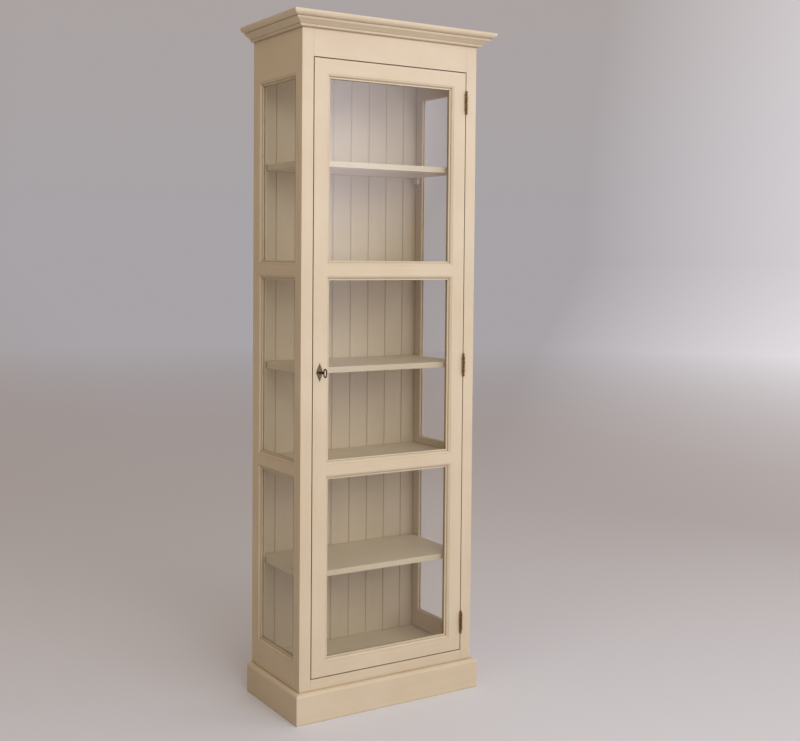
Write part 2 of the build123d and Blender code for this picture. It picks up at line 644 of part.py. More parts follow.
with BuildPart() as escutcheon:
    with BuildSketch(Plane(origin=(key_x, front_y, key_level), x_dir=(1, 0, 0), z_dir=(0, -1, 0))):
        Polygon((ESCUTCHEON_WIDTH / 2, 0), (0, ESCUTCHEON_HEIGHT / 2), (-ESCUTCHEON_WIDTH / 2, 0),
                (0, -ESCUTCHEON_HEIGHT / 2), align=None)
    extrude(amount=ESCUTCHEON_THICKNESS, taper=ESCUTCHEON_TAPER)
    add(keyhole(front_y - ESCUTCHEON_THICKNESS - OVERRUN, front_y + OVERRUN), mode=Mode.SUBTRACT)
    add(escutcheon_pins, mode=Mode.SUBTRACT)
save("escutcheon", escutcheon.part)

# Screws of the case and of the door
case_seats = case_screw_seats + strike_screw_seats
door_seats = door_screw_seats + lock_screw_seats
save("case_screws", group([slotted(screw_blank(*seat), *seat) for seat in case_seats]))
save("door_screws", group([slotted(screw_blank(*seat), *seat) for seat in door_seats] + escutcheon_pins))

# Strike plate let into the left face stile
with BuildPart() as strike_plate:
    add(block(strike_low, strike_high))
    add(bolt_window, mode=Mode.SUBTRACT)
    add(strike_screws, mode=Mode.SUBTRACT)
save("strike_plate", strike_plate.part)

# Tenons that join the face rails to the face stiles
frieze_level = (opening_top, case_top)
base_level = (0, OPENING_BOTTOM)
face_tenons = []
for end in (-1, 1):
    across = (end * opening_x, end * (opening_x + TENON_LENGTH))
    face_tenons.append([tenon(door_face, across, level) for level in (frieze_level, base_level)])

# Face frame
with BuildPart() as face_stile_left:
    add(block((-side_x, front_y, 0), (-opening_x, inner_front_y, case_top)))
    add(face_tenons[0], mode=Mode.SUBTRACT)
    add(bolt_window, mode=Mode.SUBTRACT)
    add(block(strike_low, strike_high), mode=Mode.SUBTRACT)
    add(strike_screws, mode=Mode.SUBTRACT)
save("face_stile_left", face_stile_left.part)

with BuildPart() as face_stile_right:
    add(block((opening_x, front_y, 0), (side_x, inner_front_y, case_top)))
    add(face_tenons[1], mode=Mode.SUBTRACT)
    add(case_hinge_screws, mode=Mode.SUBTRACT)
save("face_stile_right", face_stile_right.part)

with BuildPart() as frieze_rail:
    add(block((-opening_x, front_y, opening_top), (opening_x, inner_front_y, case_top)))
    add([pair[0] for pair in face_tenons])
save("frieze_rail", frieze_rail.part)

with BuildPart() as base_rail:
    add(block((-opening_x, front_y, 0), (opening_x, inner_front_y, OPENING_BOTTOM)))
    add([pair[1] for pair in face_tenons])
save("base_rail", base_rail.part)

# Door frame, glass and beads
door_sight = (-door_sight_x, door_sight_x)
door_members = frame_members(door_face, (-door_x, door_x), door_sight, door_bottom, door_top,
                             door_thickness, DOOR_GLASS_DEPTH)
for name in ("bottom_rail", "lower_rail", "upper_rail", "top_rail"):
    save("door_" + name, door_members[name])

with BuildPart() as door_stile_left:
    add(door_members["first_stile"])
    add([block(forend_low, forend_high), block(case_low, case_high)], mode=Mode.SUBTRACT)
    add(keyhole(front_y - OVERRUN, lock_front_y + OVERRUN), mode=Mode.SUBTRACT)
    add(lock_screws, mode=Mode.SUBTRACT)
    add(escutcheon_pins, mode=Mode.SUBTRACT)
save("door_stile_left", door_stile_left.part)

with BuildPart() as door_stile_right:
    add(door_members["second_stile"])
    add(door_hinge_screws, mode=Mode.SUBTRACT)
save("door_stile_right", door_stile_right.part)

door_beads = []
for name, level in zip(("lower", "middle", "upper"), pane_levels):
    save(f"door_pane_{name}", pane(door_face, door_sight, level, DOOR_GLASS_DEPTH))
    door_beads += beads(door_face, door_sight, level, door_thickness, DOOR_GLASS_DEPTH)
save("door_beads", group(door_beads))

# Side frames, the left one the mirror image of the right
side_sight = (front_y + SIDE_MEMBER_WIDTH, back_y - SIDE_MEMBER_WIDTH)
side_members = frame_members(side_face, (inner_front_y, back_y), side_sight, 0, case_top,
                             FRAME_THICKNESS, SIDE_GLASS_DEPTH)
back_x = side_x - BACK_SIDE_COVER
side_parts = {"side_" + name: side_members[name]
              for name in ("bottom_rail", "lower_rail", "upper_rail", "top_rail")}
side_parts["side_front_stile"] = side_members["first_stile"]
with BuildPart() as side_rear_stile:
    add(side_members["second_stile"])
    add(block((inner_x - OVERRUN, inner_back_y, -OVERRUN), (back_x, back_y + OVERRUN, case_top + OVERRUN)),
        mode=Mode.SUBTRACT)
side_parts["side_rear_stile"] = side_rear_stile.part
side_parts["side_panes"] = [pane(side_face, side_sight, level, SIDE_GLASS_DEPTH) for level in pane_levels]
side_parts["side_beads"] = []
for level in pane_levels:
    side_parts["side_beads"] += beads(side_face, side_sight, level, FRAME_THICKNESS, SIDE_GLASS_DEPTH)


def reflected(part):
    """Mirror image across the middle of the case."""
    return mirror(part, about=Plane.YZ, mode=Mode.PRIVATE)


for name, part in side_parts.items():
    if isinstance(part, list):
        save(name + "_right", group(part))
        save(name + "_left", group([reflected(piece) for piece in part]))
    else:
        save(name + "_right", part)
        save(name + "_left", reflected(part))


def back_board(i):
    """One tongue-and-groove back board, counted from the left."""
    pitch = 2 * back_x / BACK_BOARD_COUNT
    start = -back_x + i * pitch
    end = start + pitch
    first = i == 0
    last = i == BACK_BOARD_COUNT - 1
    middle_y = (inner_back_y + back_y) / 2
    tongue_low, tongue_high = middle_y - TONGUE_THICKNESS / 2, middle_y + TONGUE_THICKNESS / 2
    groove_low, groove_high = tongue_low - TONGUE_CLEARANCE, tongue_high + TONGUE_CLEARANCE
    groove_depth = TONGUE_LENGTH + TONGUE_CLEARANCE
    bevel_start = 0 if first else V_JOINT_DEPTH
    bevel_end = 0 if last else V_JOINT_DEPTH
    points = [(start + bevel_start, inner_back_y), (end - bevel_end, inner_back_y)]
    if not last:
        points += [(end, inner_back_y + bevel_end), (end, tongue_low), (end + TONGUE_LENGTH, tongue_low),
                   (end + TONGUE_LENGTH, tongue_high), (end, tongue_high)]
    points += [(end, back_y), (start, back_y)]
    if not first:
        points += [(start, groove_high), (start + groove_depth, groove_high),
                   (start + groove_depth, groove_low), (start, groove_low),
                   (start, inner_back_y + bevel_start)]
    return prism(Plane.XY, points, case_top)


save("back_boards", group([back_board(i) for i in range(BACK_BOARD_COUNT)]))

# Floor, ceiling and fixed shelves, housed between the side frames
flat_boards = {"floor_board": (FLOOR_TOP - FLOOR_THICKNESS, FLOOR_TOP),
               "ceiling_board": (opening_top, opening_top + SHELF_THICKNESS),
               "fixed_shelf_lower": (lower_shelf_top - SHELF_THICKNESS, lower_shelf_top),
               "fixed_shelf_upper": (upper_shelf_top - SHELF_THICKNESS, upper_shelf_top)}
for name, level in flat_boards.items():
    with BuildPart() as flat_board:
        add(block((-inner_x, inner_front_y, level[0]), (inner_x, inner_back_y, level[1])))
        fillet(flat_board.edges().filter_by(Axis.X).group_by(Axis.Y)[0], SHELF_ARRIS)
    save(name, flat_board.part)

# Loose shelves on their blocks
shelf_x = inner_x - LOOSE_SHELF_END_GAP
for name, bottom in zip(("lower", "middle", "upper"), loose_shelf_bottoms):
    with BuildPart() as loose_shelf:
        add(block((-shelf_x, inner_front_y + LOOSE_SHELF_FRONT_GAP, bottom),
                  (shelf_x, inner_back_y - LOOSE_SHELF_REAR_GAP, bottom + SHELF_THICKNESS)))
        fillet(loose_shelf.edges().filter_by(Axis.X).group_by(Axis.Y)[0], SHELF_ARRIS)
    save(f"loose_shelf_{name}", loose_shelf.part)

shelf_blocks = []
block_runs = [(inner_front_y, inner_front_y + FRONT_BLOCK_LENGTH),
              (inner_back_y - REAR_BLOCK_GAP - REAR_BLOCK_LENGTH, inner_back_y - REAR_BLOCK_GAP)]
for bottom in loose_shelf_bottoms:
    for start, end in block_runs:
        section = [(inner_x, bottom - BLOCK_HEIGHT), (inner_x, bottom), (inner_x - BLOCK_WIDTH, bottom),
                   (inner_x - BLOCK_WIDTH, bottom - BLOCK_HEIGHT + BLOCK_BEVEL),
                   (inner_x - BLOCK_WIDTH + BLOCK_BEVEL, bottom - BLOCK_HEIGHT)]
        right = prism(Plane(origin=(0, end, 0), x_dir=(1, 0, 0), z_dir=(0, -1, 0)), section, end - start)
        shelf_blocks += [right, reflected(right)]
save("shelf_blocks", group(shelf_blocks))

# Top board, its lower edge rounded in at the front and sides
with BuildPart() as top_board:
    add(block((-WIDTH / 2, -DEPTH / 2, case_top), (WIDTH / 2, DEPTH / 2, HEIGHT)))
    exposed = top_board.edges().filter_by(Axis.Z, reverse=True)
    exposed = exposed - exposed.group_by(Axis.Y)[-1]
    fillet(exposed.group_by(Axis.Z)[0], TOP_OVOLO_RADIUS)
    exposed = top_board.edges().filter_by(GeomType.LINE).group_by(Axis.Z)[-1]
    fillet(exposed - exposed.group_by(Axis.Y)[-1], TOP_ARRIS_RADIUS)
save("top_board", top_board.part)

# Planes across the front and right-hand mouldings, x running out from the case
front_section = Plane(origin=(0, front_y, 0), x_dir=(0, -1, 0), z_dir=(-1, 0, 0))
right_section = Plane(origin=(side_x, 0, 0), x_dir=(1, 0, 0), z_dir=(0, -1, 0))
mitre_x = side_x + CORNICE_OVERHANG
mitre_y = front_y - CORNICE_OVERHANG
front_plan = [(-side_x, front_y), (-mitre_x, mitre_y), (mitre_x, mitre_y), (side_x, front_y)]
right_plan = [(side_x, back_y), (side_x, front_y), (mitre_x, mitre_y), (mitre_x, back_y)]


def cornice_section(plane):
    """Cornice moulding: ovolo that runs into a hollow slope, fillet and bead, from the top down."""
    turn = math.radians(CORNICE_OVOLO_TURN)
    ovolo_centre = (CORNICE_TOP_RUN - CORNICE_OVOLO_RADIUS, case_top - CORNICE_TOP_FLAT)
    ovolo_middle = (ovolo_centre[0] + CORNICE_OVOLO_RADIUS * math.cos(turn / 2),
                    ovolo_centre[1] - CORNICE_OVOLO_RADIUS * math.sin(turn / 2))
    ovolo_foot = (ovolo_centre[0] + CORNICE_OVOLO_RADIUS * math.cos(turn),
                  ovolo_centre[1] - CORNICE_OVOLO_RADIUS * math.sin(turn))
    slope_foot = (CORNICE_SLOPE_RUN, ovolo_foot[1] - CORNICE_SLOPE_DROP)
    bead_top = (slope_foot[0] - CORNICE_FILLET, slope_foot[1])
    bead_foot = (CORNICE_BEAD_RUN, bead_top[1] - CORNICE_BEAD_DROP)
    bulge = CORNICE_BEAD_BULGE * math.cos(math.radians(45))
    bead_middle = ((bead_top[0] + bead_foot[0]) / 2 + bulge, (bead_top[1] + bead_foot[1]) / 2 - bulge)
    bottom = case_top - CORNICE_HEIGHT
    with BuildSketch(plane) as section:
        with BuildLine():
            Polyline((0, bottom), (0, case_top), (CORNICE_TOP_RUN, case_top),
                     (CORNICE_TOP_RUN, ovolo_centre[1]))
            ThreePointArc((CORNICE_TOP_RUN, ovolo_centre[1]), ovolo_middle, ovolo_foot)
            TangentArc(ovolo_foot, slope_foot, tangent=(-math.sin(turn), -math.cos(turn)))
            Line(slope_foot, bead_top)
            ThreePointArc(bead_top, bead_middle, bead_foot)
            Polyline(bead_foot, (CORNICE_BEAD_RUN, bottom), (0, bottom))
        make_face()
    return section.sketch


def plinth_section(plane):
    """Plinth board with a rounded top edge."""
    centre = (PLINTH_THICKNESS - PLINTH_OVOLO_RADIUS, PLINTH_HEIGHT - PLINTH_OVOLO_RADIUS)
    swing = PLINTH_OVOLO_RADIUS * math.cos(math.radians(45))
    with BuildSketch(plane) as section:
        with BuildLine():
            Polyline((centre[0], PLINTH_HEIGHT), (0, PLINTH_HEIGHT), (0, 0), (PLINTH_THICKNESS, 0),
                     (PLINTH_THICKNESS, centre[1]))
            ThreePointArc((PLINTH_THICKNESS, centre[1]), (centre[0] + swing, centre[1] + swing),
                          (centre[0], PLINTH_HEIGHT))
        make_face()
    return section.sketch


# Cornice and plinth, each in three mitred lengths
for name, draw in {"cornice": cornice_section, "plinth": plinth_section}.items():
    runs = {}
    for place, plane, plan in (("front", front_section, front_plan), ("right", right_section, right_plan)):
        with BuildPart() as run:
            extrude(draw(plane), amount=WIDTH, both=True)
            add(prism(Plane.XY, plan, HEIGHT), mode=Mode.INTERSECT)
        save(f"{name}_{place}", run.part)
    save(f"{name}_left", reflected(run.part))
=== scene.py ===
"""Looks of the glazed display cabinet: paint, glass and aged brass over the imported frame."""

import json

import bpy
from mathutils import Matrix, Vector


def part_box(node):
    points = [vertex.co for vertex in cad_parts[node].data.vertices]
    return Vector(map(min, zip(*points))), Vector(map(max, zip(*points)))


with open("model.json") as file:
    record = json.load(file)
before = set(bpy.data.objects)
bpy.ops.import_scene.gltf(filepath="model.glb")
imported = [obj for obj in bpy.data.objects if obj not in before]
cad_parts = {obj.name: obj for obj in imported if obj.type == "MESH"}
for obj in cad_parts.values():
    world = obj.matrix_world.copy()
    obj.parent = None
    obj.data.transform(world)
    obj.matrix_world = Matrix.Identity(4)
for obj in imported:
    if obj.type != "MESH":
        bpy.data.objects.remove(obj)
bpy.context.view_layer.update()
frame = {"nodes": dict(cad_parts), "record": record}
nodes = frame["nodes"]
slots = {entry["node"]: entry["material_slot"] for entry in frame["record"]["subparts"]}

# Colours in linear light
CREAM = (0.680, 0.568, 0.405)
CREAM_DEEP = (0.635, 0.520, 0.358)
CREAM_WORN = (0.74, 0.645, 0.510)
# Painted shade colour for crevices, joints and the lines between boards
CREVICE_SHADE = (0.25, 0.160, 0.070)
BRASS_DARK = (0.30, 0.170, 0.075)
BRASS_WARM = (0.58, 0.400, 0.220)
BRASS_RUBBED = (0.85, 0.68, 0.45)
TAN_DARK = (0.20, 0.145, 0.090)
TAN_WARM = (0.44, 0.335, 0.225)
TAN_RUBBED = (0.62, 0.50, 0.36)
KEY_DARK = (0.030, 0.012, 0.010)
KEY_WARM = (0.085, 0.038, 0.030)
KEY_RUBBED = (0.26, 0.15, 0.11)
STEEL = (0.42, 0.41, 0.39)
STEEL_STAINED = (0.24, 0.22, 0.20)
GLASS_TINT = (0.985, 0.975, 0.970)
GLASS_SHADE = (0.92, 0.94, 0.93)
FLOOR_PALE = (0.74, 0.74, 0.78)

# Noise: features for each metre, with two values along and across the brush, and the stretch of the smears
MOTTLE_SCALE = 5.0
CLOUD_SCALE = 38.0
BRUSH_SCALES = (16.0, 900.0)
GRAIN_SCALES = (3.0, 240.0)
PATCH_SCALE = 260.0
PITTING_SCALE = 1400.0
WAVE_SCALE = 7.0
SMEAR_SCALE = 22.0
SMEAR_STRETCH = (1, 1, 0.4)

# Reach of wear and of painted crevice shade, depth of relief, and half widths of the painted shade lines
# between boards, in metres
PAINT_RUB_REACH = 0.0016
PAINT_SHADE_REACH = 0.004
PAINT_RELIEF = 0.0004
METAL_RUB_REACH = 0.0006
METAL_RELIEF = 0.0001
GLASS_RELIEF = 0.002
LINE_CORE, LINE_EDGE = 0.0002, 0.0009

# Spans of noise, of edge and of crevice values over which a look comes in
NOISE_SPAN = (0.3, 0.7)
MOTTLE_SPAN = (0.35, 0.65)
GRAIN_SPAN = (0.42, 0.72)
RUB_SPAN = (0.38, 0.62)
PATCH_SPAN = (0.36, 0.66)
SMEAR_SPAN = (0.45, 0.8)
PAINT_EDGE = (0.72, 0.985)
PAINT_CREVICE = (0.35, 0.95)
METAL_EDGE = (0.7, 0.97)

# Shares of what lies over the paint and the metal, with two values from the least to the most
DEEP_CLOUDS = 0.22
WORN_GRAIN = 0.20
PAINT_RUB = (0.15, 0.6)
# Painted shade in crevices: its least share, its most on the back boards, then the painted shade lines
# between boards
LEAST_SHADE = 0.7
BOARD_SHADE = 0.35
BOARD_LINES = 0.3
BRUSH_SHARE = 0.35
METAL_RUB = (0.35, 1.0)

# Strength of the relief
PAINT_BUMP = 0.22
METAL_BUMP = 0.3
GLASS_BUMP = 0.05

# Roughness and refraction
PAINT_IOR, PAINT_SPECULAR = 1.48, 0.42
PAINT_ROUGHNESS = (0.38, 0.50)
METAL_SMOOTHER, METAL_ROUGHER = 0.08, 0.14
GLASS_IOR = 1.5
GLASS_ROUGHNESS = (0.0, 0.02)
FLOOR_ROUGHNESS = 0.6

# Softened arrises, in metres and radians
PAINT_ARRIS = 0.0006
METAL_ARRIS = 0.00025
ARRIS_ANGLE = 0.6
WELD_REACH = 0.00001

# Light of the surroundings: below, low and high on the left, low and high on the right, and far to the right
LEFT_BELOW = (0.05, 0.035, 0.020)
LEFT_LOW = (0.33, 0.255, 0.190)
LEFT_HIGH = (0.27, 0.195, 0.145)
RIGHT_LOW = (0.390, 0.370, 0.390)
RIGHT_HIGH = (0.44, 0.365, 0.315)
FAR_RIGHT = (1.00, 0.96, 1.00)

# Where that light changes: parts of a direction of length 1, upwards for the first two, then to the right
LOW_TO_HIGH = (0.0, 0.6)
LOW_TO_BELOW = (-0.14, -0.30)
LEFT_TO_RIGHT = (-0.5, 0.25)
RIGHT_TO_FAR = (0.66, 0.95)

# Broad soft glow in the surroundings: where it comes from, its edge and middle as cosines, its light
GLOW_FROM = (0.42, -0.90, 0.12)
GLOW_EDGE, GLOW_MIDDLE = 0.985, 0.998
GLOW_LIGHT = (3.2, 3.1, 3.6)

# Floor: its side, and the distances between which it turns into the surroundings, in metres
FLOOR_SIDE = 400
FLOOR_FADE = (3.0, 14.0)

# Camera at the photograph's viewpoint: turns in radians, place in metres, sensor and lens in millimetres
YAW, PITCH, ROLL = -0.5503971, 0.0419208, 0.0079601
CAMERA_PLACE = (-1.8317, -3.0498, 1.3218)
SENSOR_WIDTH, FOCAL_LENGTH = 36.0, 53.08
SHIFT_X, SHIFT_Y = 0.0261, -0.0791

BACK_BOARDS = 9

# Boards and beads that touch in one node, which keep the edges of the frame
TOUCHING = ("back_boards", "door_beads", "side_beads_left", "side_beads_right")


class Shading:
    """Node tree of a material or of the world, with the steps that the looks are made of."""

    def __init__(self, tree):
        self.tree = tree
        self.link = tree.links.new

    def add(self, kind, **settings):
        """New shader node with its settings and the values of its inputs."""
        node = self.tree.nodes.new("ShaderNode" + kind)
        for key, value in settings.items():
            if hasattr(node, key):
                setattr(node, key, value)
            else:
                node.inputs[key.replace("_", " ")].default_value = value
        return node

    def place(self):
        """Place on the piece, in object space."""
        return self.add("TexCoord").outputs["Object"]

    def axes(self, vector):
        """The three parts of a vector."""
        parts = self.add("SeparateXYZ")
        self.link(vector, parts.inputs["Vector"])
        return parts.outputs

    def noise(self, coordinates, scale, stretch=(1, 1, 1), detail=3.0, roughness=0.55):
        """Noise, drawn out along the axes where the stretch is small."""
        mapping = self.add("Mapping", Scale=stretch)
        texture = self.add("TexNoise", Scale=scale, Detail=detail, Roughness=roughness)
        self.link(coordinates, mapping.inputs["Vector"])
        self.link(mapping.outputs["Vector"], texture.inputs["Vector"])
        return texture.outputs["Fac"]

    def spread(self, value, low, high, to_low=0.0, to_high=1.0):
        """Value stretched from one range to another, and clamped."""
        limits = {"From_Min": low, "From_Max": high, "To_Min": to_low, "To_Max": to_high}
        ramp = self.add("MapRange", clamp=True, **limits)
        self.link(value, ramp.inputs["Value"])
        return ramp.outputs["Result"]

    def blend(self, share, first, second):
        """Colour between two colours or colour sockets."""
        mix = self.add("Mix", data_type="RGBA")
        self.link(share, mix.inputs["Factor"])
        for socket, colour in ((mix.inputs[6], first), (mix.inputs[7], second)):
            if isinstance(colour, tuple):
                socket.default_value = (*colour, 1.0)
            else:
                self.link(colour, socket)
        return mix.outputs[2]

    def product(self, first, second):
        """Two values multiplied."""
        node = self.add("Math", operation="MULTIPLY")
        self.link(first, node.inputs[0])
        self.link(second, node.inputs[1])
        return node.outputs["Value"]

    def edges(self, reach, low, high):
        """Share that rises near outer and inner edges, from the rounded and the true normal."""
        rounded = self.add("Bevel", samples=4, Radius=reach)
        dot = self.add("VectorMath", operation="DOT_PRODUCT")
        self.link(rounded.outputs["Normal"], dot.inputs[0])
        self.link(self.add("NewGeometry").outputs["Normal"], dot.inputs[1])
        return self.spread(dot.outputs["Value"], high, low)

    def crevice_shade(self, reach, low, high):
        """Share that rises in joints and inner corners, where shade is painted."""
        hidden = self.add("AmbientOcclusion", samples=4, only_local=False, Distance=reach)
        return self.spread(hidden.outputs["AO"], high, low)

    def joint_lines(self, position, start, pitch, strength):
        """Share that is highest on the thin joints between boards of one width, for a painted shade line."""
        shifted = self.add("Math", operation="SUBTRACT")
        self.link(self.axes(position)["X"], shifted.inputs[0])
        shifted.inputs[1].default_value = start
        nearest = self.add("Math", operation="PINGPONG")
        self.link(shifted.outputs["Value"], nearest.inputs[0])
        nearest.inputs[1].default_value = pitch / 2
        return self.spread(nearest.outputs["Value"], LINE_EDGE, LINE_CORE, 0.0, strength)

    def bump(self, height, strength, depth):
        """Normal with fine relief from a height."""
        relief = self.add("Bump", Strength=strength, Distance=depth)
        self.link(height, relief.inputs["Height"])
        return relief.outputs["Normal"]

    def surroundings(self, direction):
        """Light from a direction: warm on the left, dim below there, pale far right, with one broad glow."""
        parts = self.axes(direction)
        height = self.spread(parts["Z"], *LOW_TO_HIGH)
        left = self.blend(height, LEFT_LOW, LEFT_HIGH)
        left = self.blend(self.spread(parts["Z"], *LOW_TO_BELOW), left, LEFT_BELOW)
        right = self.blend(height, RIGHT_LOW, RIGHT_HIGH)
        light = self.blend(self.spread(parts["X"], *LEFT_TO_RIGHT), left, right)
        light = self.blend(self.spread(parts["X"], *RIGHT_TO_FAR), light, FAR_RIGHT)
        nearness = self.add("VectorMath", operation="DOT_PRODUCT")
        self.link(direction, nearness.inputs[0])
        nearness.inputs[1].default_value = Vector(GLOW_FROM).normalized()
        glow = self.spread(nearness.outputs["Value"], GLOW_EDGE, GLOW_MIDDLE)
        return self.blend(glow, light, GLOW_LIGHT)

    def finish(self, shader):
        """Shader led to the surface of the material."""
        self.link(shader, self.add("OutputMaterial").inputs["Surface"])


def new_material(name):
    """Empty node material, and its node tree."""
    material = bpy.data.materials.new(name)
    material.use_nodes = True
    material.node_tree.nodes.clear()
    return material, Shading(material.node_tree)


def paint(name, fine, joints=None):
    """Satin paint with brush marks, faint mottling, rubbed edges, painted shade in crevices, and painted
    shade lines between boards.
    """
    material, tree = new_material(name)
    position = tree.place()

    def brushed(scales, detail, roughness):
        """Noise that is fine across the brush and long along it."""
        along, across = scales
        stretch = tuple(across if axis else along for axis in fine)
        return tree.noise(position, 1.0, stretch, detail, roughness)

    mottle = tree.noise(position, MOTTLE_SCALE, detail=4.0)
    cloud = tree.noise(position, CLOUD_SCALE)
    brush = brushed(BRUSH_SCALES, detail=3.0, roughness=0.6)
    grain = brushed(GRAIN_SCALES, detail=4.0, roughness=0.62)
    colour = tree.blend(tree.spread(mottle, *MOTTLE_SPAN), CREAM, CREAM_DEEP)
    colour = tree.blend(tree.spread(cloud, *NOISE_SPAN, 0.0, DEEP_CLOUDS), colour, CREAM_DEEP)
    colour = tree.blend(tree.spread(grain, *GRAIN_SPAN, 0.0, WORN_GRAIN), colour, CREAM_WORN)
    worn = tree.spread(cloud, *RUB_SPAN, *PAINT_RUB)
    colour = tree.blend(tree.product(tree.edges(PAINT_RUB_REACH, *PAINT_EDGE), worn), colour, CREAM_WORN)
    # Painted shade in crevices and inner corners from ambient occlusion, made patchy by the cloud noise
    most_shade = BOARD_SHADE if joints else 1.0
    patchy = tree.spread(cloud, *NOISE_SPAN, LEAST_SHADE * most_shade, most_shade)
    painted_shade = tree.product(tree.crevice_shade(PAINT_SHADE_REACH, *PAINT_CREVICE), patchy)
    colour = tree.blend(painted_shade, colour, CREVICE_SHADE)
    # Painted shade lines on the joints between the back boards
    if joints:
        colour = tree.blend(tree.joint_lines(position, *joints, BOARD_LINES), colour, CREVICE_SHADE)
    heights = tree.add("Math", operation="MULTIPLY_ADD")
    tree.link(brush, heights.inputs[0])
    heights.inputs[1].default_value = BRUSH_SHARE
    tree.link(grain, heights.inputs[2])
    surface = tree.add("BsdfPrincipled", IOR=PAINT_IOR, Specular_IOR_Level=PAINT_SPECULAR)
    tree.link(colour, surface.inputs["Base Color"])
    tree.link(tree.spread(brush, *NOISE_SPAN, *PAINT_ROUGHNESS), surface.inputs["Roughness"])
    tree.link(tree.bump(heights.outputs["Value"], PAINT_BUMP, PAINT_RELIEF), surface.inputs["Normal"])
    tree.finish(surface.outputs["BSDF"])
    return material


def metal(name, dark, warm, rubbed, rough):
    """Aged metal: mottled on the flats and rubbed bright on the edges."""
    material, tree = new_material(name)
    position = tree.place()
    patch = tree.noise(position, PATCH_SCALE, detail=5.0)
    pitting = tree.noise(position, PITTING_SCALE)
    colour = tree.blend(tree.spread(patch, *PATCH_SPAN), dark, warm)
    worn = tree.spread(pitting, *NOISE_SPAN, *METAL_RUB)
    colour = tree.blend(tree.product(tree.edges(METAL_RUB_REACH, *METAL_EDGE), worn), colour, rubbed)
    roughness = tree.spread(patch, *NOISE_SPAN, rough - METAL_SMOOTHER, rough + METAL_ROUGHER)
    surface = tree.add("BsdfPrincipled", Metallic=1.0)
    tree.link(colour, surface.inputs["Base Color"])
    tree.link(roughness, surface.inputs["Roughness"])
    tree.link(tree.bump(pitting, METAL_BUMP, METAL_RELIEF), surface.inputs["Normal"])
    tree.finish(surface.outputs["BSDF"])
    return material


def window_glass(name):
    """Clear drawn glass, a little wavy, that lets light into the case."""
    material, tree = new_material(name)
    position = tree.place()
    wave = tree.noise(position, WAVE_SCALE, detail=1.0)
    smear = tree.noise(position, SMEAR_SCALE, SMEAR_STRETCH, detail=4.0)
    tint = (*GLASS_TINT, 1.0)
    surface = tree.add("BsdfPrincipled", Base_Color=tint, Transmission_Weight=1.0, IOR=GLASS_IOR)
    tree.link(tree.spread(smear, *SMEAR_SPAN, *GLASS_ROUGHNESS), surface.inputs["Roughness"])
    tree.link(tree.bump(wave, GLASS_BUMP, GLASS_RELIEF), surface.inputs["Normal"])
    clear = tree.add("BsdfTransparent", Color=(*GLASS_SHADE, 1.0))
    rays = tree.add("LightPath")
    either = tree.add("Math", operation="MAXIMUM")
    tree.link(rays.outputs["Is Shadow Ray"], either.inputs[0])
    tree.link(rays.outputs["Is Diffuse Ray"], either.inputs[1])
    mix = tree.add("MixShader")
    tree.link(either.outputs["Value"], mix.inputs[0])
    tree.link(surface.outputs["BSDF"], mix.inputs[1])
    tree.link(clear.outputs["BSDF"], mix.inputs[2])
    tree.finish(mix.outputs["Shader"])
    return material


def fading_floor(name):
    """Pale floor that turns into the surroundings with distance."""
    material, tree = new_material(name)
    surface = tree.add("BsdfPrincipled", Base_Color=(*FLOOR_PALE, 1.0), Roughness=FLOOR_ROUGHNESS)
    position = tree.place()
    distance = tree.add("VectorMath", operation="LENGTH")
    bearing = tree.add("VectorMath", operation="NORMALIZE")
    tree.link(position, distance.inputs[0])
    tree.link(position, bearing.inputs[0])
    distant = tree.add("Emission")
    tree.link(tree.surroundings(bearing.outputs["Vector"]), distant.inputs["Color"])
    mix = tree.add("MixShader")
    tree.link(tree.spread(distance.outputs["Value"], *FLOOR_FADE), mix.inputs[0])
    tree.link(surface.outputs["BSDF"], mix.inputs[1])
    tree.link(distant.outputs["Emission"], mix.inputs[2])
    tree.finish(mix.outputs["Shader"])
    return material


def soften(piece, width, segments):
    """Real rounded arrises on a piece."""
    weld = piece.modifiers.new("weld", "WELD")
    weld.merge_threshold = WELD_REACH
    bevel = piece.modifiers.new("arris", "BEVEL")
    bevel.limit_method = "ANGLE"
    bevel.angle_limit = ARRIS_ANGLE
    bevel.width = width
    bevel.segments = segments
    bevel.use_clamp_overlap = True
    flats = piece.modifiers.new("flats", "WEIGHTED_NORMAL")
    flats.weight = 100
    flats.keep_sharp = True


def softbox(name, place, target, size, power, colour, mirrored=False):
    """Large soft lamp aimed at a point, which isn't seen itself, and mirrored only where asked."""
    lamp = bpy.data.lights.new(name, "AREA")
    lamp.shape = "RECTANGLE"
    lamp.size, lamp.size_y = size
    lamp.energy = power
    lamp.color = colour
    holder = bpy.data.objects.new(name, lamp)
    holder.location = place
    holder.rotation_euler = (Vector(target) - Vector(place)).to_track_quat("-Z", "Y").to_euler()
    holder.visible_camera = False
    holder.visible_glossy = mirrored
    holder.visible_transmission = False
    bpy.context.scene.collection.objects.link(holder)


# Paint with its brush marks along Z, X or Y: true where the pattern is fine
upright = paint("paint_upright", (True, True, False))
across = paint("paint_across", (False, True, True))
inward = paint("paint_inward", (True, False, True))
boards_low, boards_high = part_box("back_boards")
board_pitch = (boards_high.x - boards_low.x) / BACK_BOARDS

of_piece = {
    "back_boards": paint("paint_boards", (True, True, False), (boards_low.x, board_pitch)),
    "escutcheon": metal("dull_brass", TAN_DARK, TAN_WARM, TAN_RUBBED, rough=0.46),
    "key": metal("key_bronze", KEY_DARK, KEY_WARM, KEY_RUBBED, rough=0.34),
}
of_slot = {
    "glass": window_glass("window_glass"),
    "aged_brass": metal("aged_brass", BRASS_DARK, BRASS_WARM, BRASS_RUBBED, rough=0.27),
    "lock_steel": metal("lock_steel", STEEL_STAINED, STEEL, STEEL, rough=0.34),
}


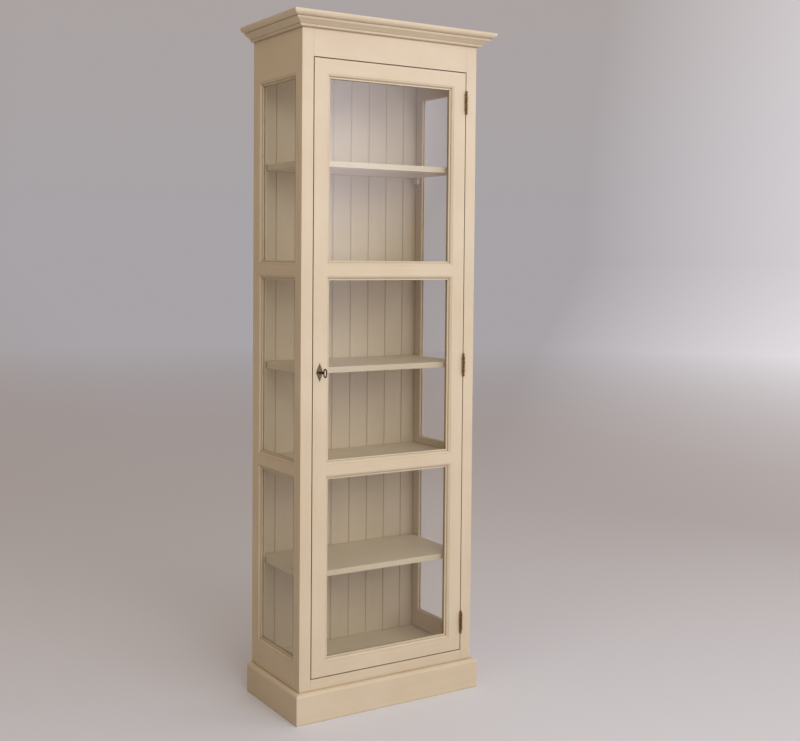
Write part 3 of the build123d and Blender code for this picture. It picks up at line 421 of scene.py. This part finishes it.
def material_for(node):
    """The piece's own material, or that of its slot, or paint with brush marks along the piece."""
    if node in of_piece:
        return of_piece[node]
    if slots[node] in of_slot:
        return of_slot[slots[node]]
    low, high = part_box(node)
    size = high - low
    if "shelf_blocks" in node or "_beads" in node or size.z >= max(size.x, size.y):
        return upright
    return across if size.x > size.y else inward


for name, piece in nodes.items():
    piece.data.materials.clear()
    piece.data.materials.append(material_for(name))

# Floor, which shows in no mirrored light
bpy.ops.mesh.primitive_plane_add(size=FLOOR_SIDE, location=(0, 0, 0))
floor = bpy.context.object
floor.name = "studio_floor"
floor.data.materials.append(fading_floor("studio_floor"))
floor.visible_glossy = False

# Soft studio surroundings
world = bpy.data.worlds.new("studio")
world.use_nodes = True
sky = Shading(world.node_tree)
light = sky.surroundings(sky.add("TexCoord").outputs["Generated"])
sky.link(light, world.node_tree.nodes["Background"].inputs["Color"])
bpy.context.scene.world = world
bpy.context.scene.view_settings.view_transform = "Standard"

# Lamps: name, place, the point they aim at, width and height, power in watts, colour
softbox("key_light", (-0.4, -4.4, 3.4), (0.0, 0.0, 0.9), (4.2, 2.6), 111, (0.99, 1.0, 0.94))
softbox("high_light", (0.2, -1.6, 4.4), (0.0, -0.2, 1.0), (3.0, 3.0), 16, (0.86, 1.0, 0.80))
softbox("top_light", (0.1, -1.4, 3.1), (0.0, -0.1, 1.6), (1.6, 0.8), 4, (0.06, 0.15, 1.0))
softbox("mid_light", (-0.3, -2.4, 1.3), (0.0, 0.0, 1.2), (0.8, 0.5), 5, (0.70, 0.72, 1.0))
softbox("left_light", (-2.9, -1.2, 3.0), (-0.3, 0.0, 1.0), (1.6, 2.0), 7.8, (1.0, 0.98, 0.70))
softbox("left_high", (-1.7, -0.9, 2.9), (-0.3, -0.1, 1.6), (0.8, 1.0), 2.4, (0.80, 0.86, 1.0))
softbox("side_light", (2.85, -2.0, 1.6), (0.2, -0.1, 1.0), (1.6, 2.2), 15, (0.92, 0.90, 1.0), mirrored=True)

# Camera, with its axes as the columns of its turn
turn = Matrix.Rotation(ROLL, 3, "Y") @ Matrix.Rotation(PITCH, 3, "X") @ Matrix.Rotation(-YAW, 3, "Z")
right, forward, up = turn
axes = Matrix((right, up, -forward)).transposed()
camera_data = bpy.data.cameras.new("photo_camera")
camera_data.sensor_width = SENSOR_WIDTH
camera_data.lens = FOCAL_LENGTH
camera_data.shift_x = SHIFT_X
camera_data.shift_y = SHIFT_Y
camera = bpy.data.objects.new("photo_camera", camera_data)
camera.matrix_world = Matrix.Translation(CAMERA_PLACE) @ axes.to_4x4()
bpy.context.scene.collection.objects.link(camera)
bpy.context.scene.camera = camera

for name, piece in nodes.items():
    if name in TOUCHING:
        continue
    if slots[name] == "painted_wood":
        soften(piece, PAINT_ARRIS, segments=2)
    elif slots[name] != "glass":
        soften(piece, METAL_ARRIS, segments=1)
